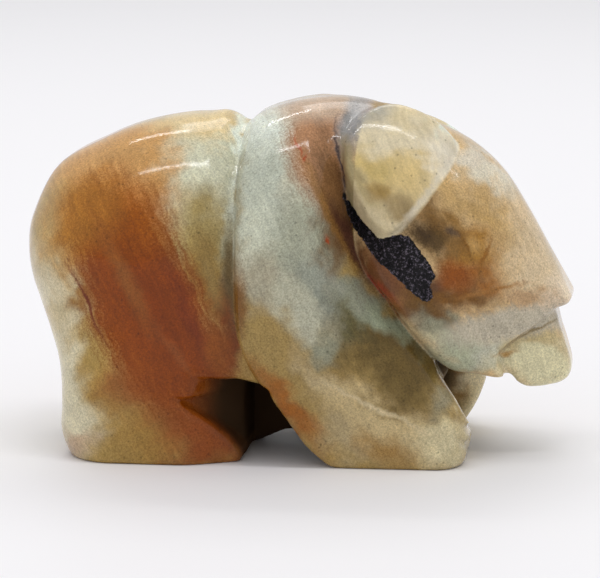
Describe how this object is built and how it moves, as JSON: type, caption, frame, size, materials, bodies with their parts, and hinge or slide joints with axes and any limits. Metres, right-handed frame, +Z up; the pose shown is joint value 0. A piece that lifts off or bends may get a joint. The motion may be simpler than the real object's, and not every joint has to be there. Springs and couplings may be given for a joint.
{
  "type": "carved stone bear figurine",
  "caption": "Small polished stone carving of a standing bear with lowered head, rounded ears, a slightly open jaw, and a waist groove, resting on flat soles.",
  "frame": {"origin": "on the floor, under the middle of the bear's length and width", "axes": "+X from rump to nose, +Y to the bear's left, +Z up"},
  "size_m": [0.0512, 0.026, 0.033],
  "materials": {
    "amazonite": "polished banded stone, tan, rust and pale green, slightly translucent"
  },
  "bodies": {
    "root": {"bear": "amazonite"}
  },
  "joints": []
}
